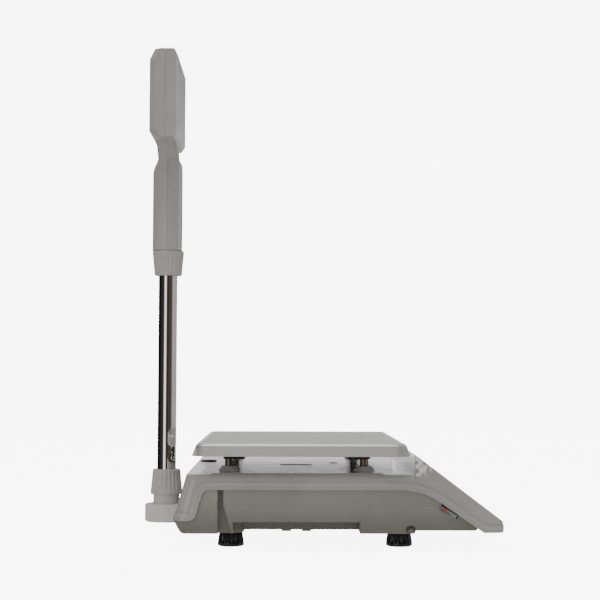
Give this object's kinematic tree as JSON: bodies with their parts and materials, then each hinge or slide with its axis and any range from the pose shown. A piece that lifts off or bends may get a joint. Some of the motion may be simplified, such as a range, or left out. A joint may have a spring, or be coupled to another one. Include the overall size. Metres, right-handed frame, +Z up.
{
  "type": "price computing scale",
  "caption": "Counter scale with a square tray, a sloping console with keys and display, adjustable feet and a customer display head on a pole.",
  "frame": {"origin": "middle of the outline, at the height of the table under the feet", "axes": "+X towards the operator and the console, +Y across to the far side, +Z up along the pole"},
  "size_m": [0.388, 0.3384, 0.5497],
  "materials": {
    "cover_plastic": "moulded, semi gloss, fine texture",
    "base_plastic": "moulded, semi gloss, fine texture",
    "head_plastic": "moulded, semi gloss",
    "collar_plastic": "moulded, semi gloss",
    "dome_plastic": "moulded, matt",
    "tray_steel": "brushed stainless sheet",
    "post_steel": "turned, dulled",
    "tube_chrome": "bright chrome plate",
    "rest_rubber": "moulded",
    "foot_plastic": "glossy black moulding",
    "fastener_steel": "zinc plated",
    "cell_aluminium": "machined",
    "spider_aluminium": "die cast",
    "chassis_steel": "zinc plated sheet",
    "board_laminate": "green circuit board with parts",
    "display_glass": "dark display panel",
    "window_clear": "clear moulded window",
    "head_window_clear": "tinted clear window",
    "panel_plastic": "moulded, matt",
    "key_plastic": "moulded, matt",
    "switch_black": "glossy black moulding",
    "inlet_black": "moulded, with brass pins",
    "battery_case": "moulded case",
    "vial_glass": "clear vial with tinted liquid",
    "vial_holder": "moulded"
  },
  "bodies": {
    "base": {"base_housing": "base_plastic", "top_cover": "cover_plastic", "display_window": "window_clear", "operator_display": "display_glass", "key_panel": "panel_plastic", "key_board": "board_laminate", "main_board": "board_laminate", "chassis_plate": "chassis_steel", "cell_spacer_lower": "cell_aluminium", "load_cell": "cell_aluminium", "cell_bolts": "fastener_steel", "overload_stops": "fastener_steel", "deck_domes": "dome_plastic", "battery": "battery_case", "switch_body": "switch_black", "power_inlet": "inlet_black", "level_vial": "vial_glass", "level_holder": "vial_holder", "housing_screws": "fastener_steel", "pole_bracket": "collar_plastic", "pole_tube": "tube_chrome"},
    "platform": {"cell_spacer_upper": "cell_aluminium", "spider_bolts": "fastener_steel", "spider": "spider_aluminium", "tray_posts": "post_steel", "tray_rests": "rest_rubber"},
    "tray": {"tray": "tray_steel"},
    "battery_door": {"battery_door": "base_plastic"},
    "rocker": {"switch_rocker": "switch_black"},
    "lower_collar": {"lower_collar": "collar_plastic"},
    "head": {"head_customer_shell": "head_plastic", "head_operator_shell": "head_plastic", "head_window": "head_window_clear", "head_display": "display_glass", "head_screws": "fastener_steel"},
    "upper_collar": {"upper_collar": "collar_plastic"},
    "foot_1_screw": {"foot_stem_1": "fastener_steel"},
    "foot_1_knob": {"foot_knob_1": "foot_plastic"},
    "foot_2_screw": {"foot_stem_2": "fastener_steel"},
    "foot_2_knob": {"foot_knob_2": "foot_plastic"},
    "foot_3_screw": {"foot_stem_3": "fastener_steel"},
    "foot_3_knob": {"foot_knob_3": "foot_plastic"},
    "foot_4_screw": {"foot_stem_4": "fastener_steel"},
    "foot_4_knob": {"foot_knob_4": "foot_plastic"},
    "key_01": {"key_01": "key_plastic"},
    "key_02": {"key_02": "key_plastic"},
    "key_03": {"key_03": "key_plastic"},
    "key_04": {"key_04": "key_plastic"},
    "key_05": {"key_05": "key_plastic"},
    "key_06": {"key_06": "key_plastic"},
    "key_07": {"key_07": "key_plastic"},
    "key_08": {"key_08": "key_plastic"},
    "key_09": {"key_09": "key_plastic"},
    "key_10": {"key_10": "key_plastic"},
    "key_11": {"key_11": "key_plastic"},
    "key_12": {"key_12": "key_plastic"},
    "key_13": {"key_13": "key_plastic"},
    "key_14": {"key_14": "key_plastic"},
    "key_15": {"key_15": "key_plastic"},
    "key_16": {"key_16": "key_plastic"}
  },
  "joints": [
    {"name": "platform_travel", "type": "slide", "parent": "base", "child": "platform", "axis": [0, 0, 1], "range_m": [-0.0004, 0], "stiffness_N_per_m": 300000, "springref_m": 0.00015, "deforming": ["load_cell"]},
    {"name": "tray_lift", "type": "slide", "parent": "platform", "child": "tray", "axis": [0, 0, 1], "range_m": [0, 0.08]},
    {"name": "battery_door_hinge", "type": "hinge", "parent": "base", "child": "battery_door", "pos_m": [-0.02, 0.0679, 0.0193], "axis": [-1, 0, 0], "range_deg": [0, 90]},
    {"name": "rocker_tilt", "type": "hinge", "parent": "base", "child": "rocker", "pos_m": [0.1372, -0.157, 0.041], "axis": [0.524, 0, 0.8517], "range_deg": [0, 16]},
    {"name": "lower_collar_turn", "type": "hinge", "parent": "base", "child": "lower_collar", "pos_m": [-0.1696, 0, 0.0594], "axis": [0, 0, 1], "range_deg": [0, 270]},
    {"name": "head_swivel", "type": "hinge", "parent": "base", "child": "head", "pos_m": [-0.1696, 0, 0.37], "axis": [0, 0, 1], "range_deg": [-165, 165]},
    {"name": "upper_collar_turn", "type": "hinge", "parent": "head", "child": "upper_collar", "pos_m": [-0.1696, 0, 0.311], "axis": [0, 0, 1], "range_deg": [0, 270]},
    {"name": "foot_1_travel", "type": "slide", "parent": "base", "child": "foot_1_screw", "axis": [0, 0, 1], "range_m": [-0.005, 0.0003]},
    {"name": "foot_1_turn", "type": "hinge", "parent": "foot_1_screw", "child": "foot_1_knob", "pos_m": [-0.0913, -0.112, 0.007], "axis": [0, 0, 1], "range_deg": [-1500, 95]},
    {"name": "foot_2_travel", "type": "slide", "parent": "base", "child": "foot_2_screw", "axis": [0, 0, 1], "range_m": [-0.005, 0.0003]},
    {"name": "foot_2_turn", "type": "hinge", "parent": "foot_2_screw", "child": "foot_2_knob", "pos_m": [-0.0913, 0.112, 0.007], "axis": [0, 0, 1], "range_deg": [-1500, 95]},
    {"name": "foot_3_travel", "type": "slide", "parent": "base", "child": "foot_3_screw", "axis": [0, 0, 1], "range_m": [-0.005, 0.0003]},
    {"name": "foot_3_turn", "type": "hinge", "parent": "foot_3_screw", "child": "foot_3_knob", "pos_m": [0.089, -0.112, 0.007], "axis": [0, 0, 1], "range_deg": [-1500, 95]},
    {"name": "foot_4_travel", "type": "slide", "parent": "base", "child": "foot_4_screw", "axis": [0, 0, 1], "range_m": [-0.005, 0.0003]},
    {"name": "foot_4_turn", "type": "hinge", "parent": "foot_4_screw", "child": "foot_4_knob", "pos_m": [0.089, 0.112, 0.007], "axis": [0, 0, 1], "range_deg": [-1500, 95]},
    {"name": "key_01_press", "type": "slide", "parent": "base", "child": "key_01", "axis": [0.6018, 0, 0.7986], "range_m": [-0.0012, 0], "stiffness_N_per_m": 250, "springref_m": 0.0004},
    {"name": "key_02_press", "type": "slide", "parent": "base", "child": "key_02", "axis": [0.6018, 0, 0.7986], "range_m": [-0.0012, 0], "stiffness_N_per_m": 250, "springref_m": 0.0004},
    {"name": "key_03_press", "type": "slide", "parent": "base", "child": "key_03", "axis": [0.6018, 0, 0.7986], "range_m": [-0.0012, 0], "stiffness_N_per_m": 250, "springref_m": 0.0004},
    {"name": "key_04_press", "type": "slide", "parent": "base", "child": "key_04", "axis": [0.6018, 0, 0.7986], "range_m": [-0.0012, 0], "stiffness_N_per_m": 250, "springref_m": 0.0004},
    {"name": "key_05_press", "type": "slide", "parent": "base", "child": "key_05", "axis": [0.6018, 0, 0.7986], "range_m": [-0.0012, 0], "stiffness_N_per_m": 250, "springref_m": 0.0004},
    {"name": "key_06_press", "type": "slide", "parent": "base", "child": "key_06", "axis": [0.6018, 0, 0.7986], "range_m": [-0.0012, 0], "stiffness_N_per_m": 250, "springref_m": 0.0004},
    {"name": "key_07_press", "type": "slide", "parent": "base", "child": "key_07", "axis": [0.6018, 0, 0.7986], "range_m": [-0.0012, 0], "stiffness_N_per_m": 250, "springref_m": 0.0004},
    {"name": "key_08_press", "type": "slide", "parent": "base", "child": "key_08", "axis": [0.6018, 0, 0.7986], "range_m": [-0.0012, 0], "stiffness_N_per_m": 250, "springref_m": 0.0004},
    {"name": "key_09_press", "type": "slide", "parent": "base", "child": "key_09", "axis": [0.6018, 0, 0.7986], "range_m": [-0.0012, 0], "stiffness_N_per_m": 250, "springref_m": 0.0004},
    {"name": "key_10_press", "type": "slide", "parent": "base", "child": "key_10", "axis": [0.6018, 0, 0.7986], "range_m": [-0.0012, 0], "stiffness_N_per_m": 250, "springref_m": 0.0004},
    {"name": "key_11_press", "type": "slide", "parent": "base", "child": "key_11", "axis": [0.6018, 0, 0.7986], "range_m": [-0.0012, 0], "stiffness_N_per_m": 250, "springref_m": 0.0004},
    {"name": "key_12_press", "type": "slide", "parent": "base", "child": "key_12", "axis": [0.6018, 0, 0.7986], "range_m": [-0.0012, 0], "stiffness_N_per_m": 250, "springref_m": 0.0004},
    {"name": "key_13_press", "type": "slide", "parent": "base", "child": "key_13", "axis": [0.6018, 0, 0.7986], "range_m": [-0.0012, 0], "stiffness_N_per_m": 250, "springref_m": 0.0004},
    {"name": "key_14_press", "type": "slide", "parent": "base", "child": "key_14", "axis": [0.6018, 0, 0.7986], "range_m": [-0.0012, 0], "stiffness_N_per_m": 250, "springref_m": 0.0004},
    {"name": "key_15_press", "type": "slide", "parent": "base", "child": "key_15", "axis": [0.6018, 0, 0.7986], "range_m": [-0.0012, 0], "stiffness_N_per_m": 250, "springref_m": 0.0004},
    {"name": "key_16_press", "type": "slide", "parent": "base", "child": "key_16", "axis": [0.6018, 0, 0.7986], "range_m": [-0.0012, 0], "stiffness_N_per_m": 250, "springref_m": 0.0004}
  ],
  "couplings": [
    {"joint": "foot_1_turn", "follows": "foot_1_travel", "rad_per_m": 5026.5},
    {"joint": "foot_2_turn", "follows": "foot_2_travel", "rad_per_m": 5026.5},
    {"joint": "foot_3_turn", "follows": "foot_3_travel", "rad_per_m": 5026.5},
    {"joint": "foot_4_turn", "follows": "foot_4_travel", "rad_per_m": 5026.5}
  ]
}
